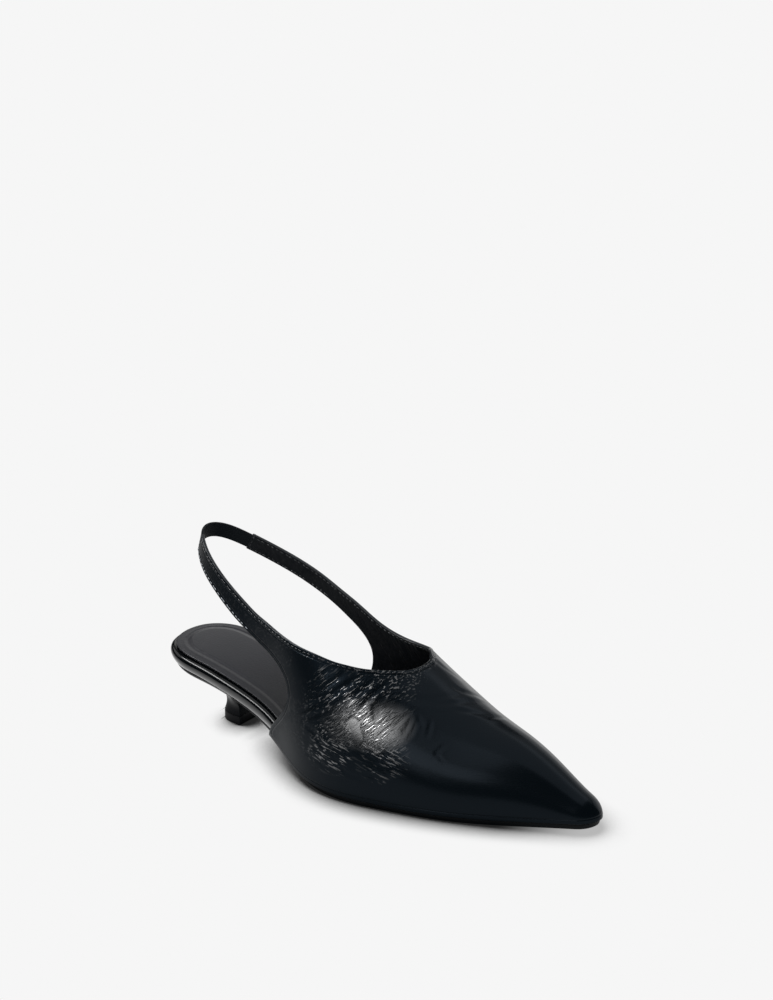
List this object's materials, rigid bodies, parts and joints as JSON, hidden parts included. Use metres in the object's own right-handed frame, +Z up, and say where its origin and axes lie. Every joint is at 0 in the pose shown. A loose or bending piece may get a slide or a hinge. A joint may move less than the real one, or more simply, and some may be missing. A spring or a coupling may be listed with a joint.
{
  "type": "slingback mule",
  "caption": "Black crinkled leather slingback mule for the right foot: closed pointed toe, curved side cuts, sling strap with an elastic back, padded insole and a low set-in heel.",
  "frame": {"origin": "middle of the bottom face of the bounding box, on the floor that the shoe stands on", "axes": "+X to the toe, +Y to the medial side (the wearer's left), +Z up"},
  "size_m": [0.2588, 0.0838, 0.1048],
  "materials": {
    "upper": "black leather with a crinkled, glossy finish",
    "elastic": "black covered elastic",
    "footbed": "black glossy leather wrapped over a board",
    "insole": "charcoal lining leather over a thin foam pad",
    "outsole": "black matt sole",
    "heel": "moulded heel covered with black glossy leather",
    "top_piece": "black hard rubber"
  },
  "bodies": {
    "root": {"upper": "upper", "elastic": "elastic", "footbed": "footbed", "insole": "insole", "outsole": "outsole", "heel": "heel", "top_piece": "top_piece"}
  },
  "joints": []
}
